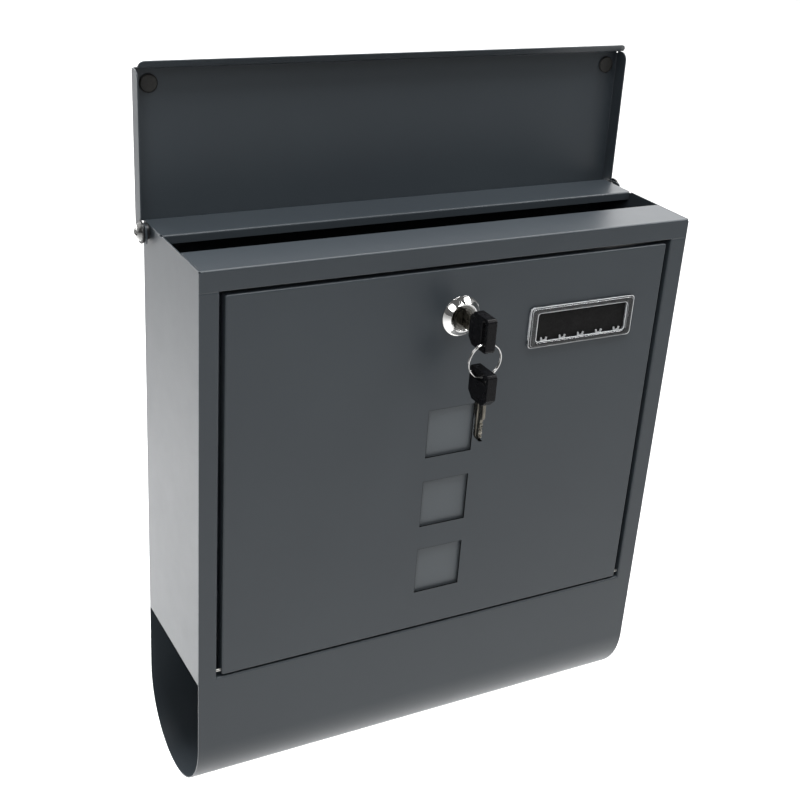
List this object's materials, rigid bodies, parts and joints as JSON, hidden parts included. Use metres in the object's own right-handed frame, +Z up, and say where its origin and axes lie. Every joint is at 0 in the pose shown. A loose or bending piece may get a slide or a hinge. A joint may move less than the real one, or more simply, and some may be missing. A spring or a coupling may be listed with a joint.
{
  "type": "wall mounted mailbox",
  "caption": "Wall mounted sheet-steel mailbox with a hinged top lid over the mail slot, a lockable drop-down front door and an open newspaper holder below.",
  "frame": {"origin": "centre of the four wall holes, on the rear face of the back panel", "axes": "+X to the right seen from the front, +Y into the wall, +Z up"},
  "size_m": [0.3506, 0.1453, 0.4666],
  "materials": {
    "painted_steel": "satin anthracite powder coat",
    "window_strip": "satin grey coat",
    "zinc": "zinc plated",
    "bright_chrome": "polished",
    "plug_metal": "satin nickel",
    "key_metal": "dull nickel",
    "black_plastic": "moulded",
    "black_nylon": "moulded",
    "black_rubber": "matt",
    "clear_plastic": "clear polished",
    "black_card": "matt"
  },
  "bodies": {
    "cabinet": {"back_panel": "painted_steel", "left_side_panel": "painted_steel", "right_side_panel": "painted_steel", "front_sheet": "painted_steel", "floor_panel": "painted_steel", "lid_hinge_screws": "bright_chrome", "lid_hinge_washers": "black_plastic", "lid_hinge_spacers": "black_nylon", "lid_hinge_nuts": "zinc", "door_hinge_pins": "zinc"},
    "lid": {"lid_panel": "painted_steel", "lid_bumpers": "black_rubber"},
    "door": {"door_panel": "painted_steel", "door_backing_strip": "window_strip", "name_plate_cover": "clear_plastic", "name_card": "black_card", "lock_housing": "bright_chrome", "lock_nut": "zinc"},
    "lock_plug": {"lock_plug": "plug_metal", "lock_cam": "zinc", "cam_screw": "zinc"},
    "key": {"key_blade": "key_metal", "key_bow": "black_plastic"},
    "key_ring": {"key_ring": "bright_chrome"},
    "spare_key": {"spare_key_blade": "key_metal", "spare_key_bow": "black_plastic"}
  },
  "joints": [
    {"name": "lid_hinge", "type": "hinge", "parent": "cabinet", "child": "lid", "pos_m": [0, -0.0073, 0.1323], "axis": [1, 0, 0], "range_deg": [0, 94.5]},
    {"name": "door_hinge", "type": "hinge", "parent": "cabinet", "child": "door", "pos_m": [0, -0.0932, -0.1305], "axis": [1, 0, 0], "range_deg": [0, 105]},
    {"name": "plug_turn", "type": "hinge", "parent": "door", "child": "lock_plug", "pos_m": [0, -0.09, 0.0912], "axis": [0, 1, 0], "range_deg": [0, 90]},
    {"name": "key_pull", "type": "slide", "parent": "lock_plug", "child": "key", "axis": [0, -1, 0], "range_m": [0, 0.028]},
    {"name": "ring_hang", "type": "hinge", "parent": "key", "child": "key_ring", "pos_m": [0, -0.1275, 0.08145], "axis": [0, 1, 0], "range_deg": [-90, 0]},
    {"name": "spare_key_swing", "type": "hinge", "parent": "key_ring", "child": "spare_key", "pos_m": [0, -0.1275, 0.0636], "axis": [1, 0, 0], "range_deg": [-60, 30]}
  ],
  "couplings": [
    {"joint": "ring_hang", "follows": "plug_turn", "ratio": -1}
  ]
}
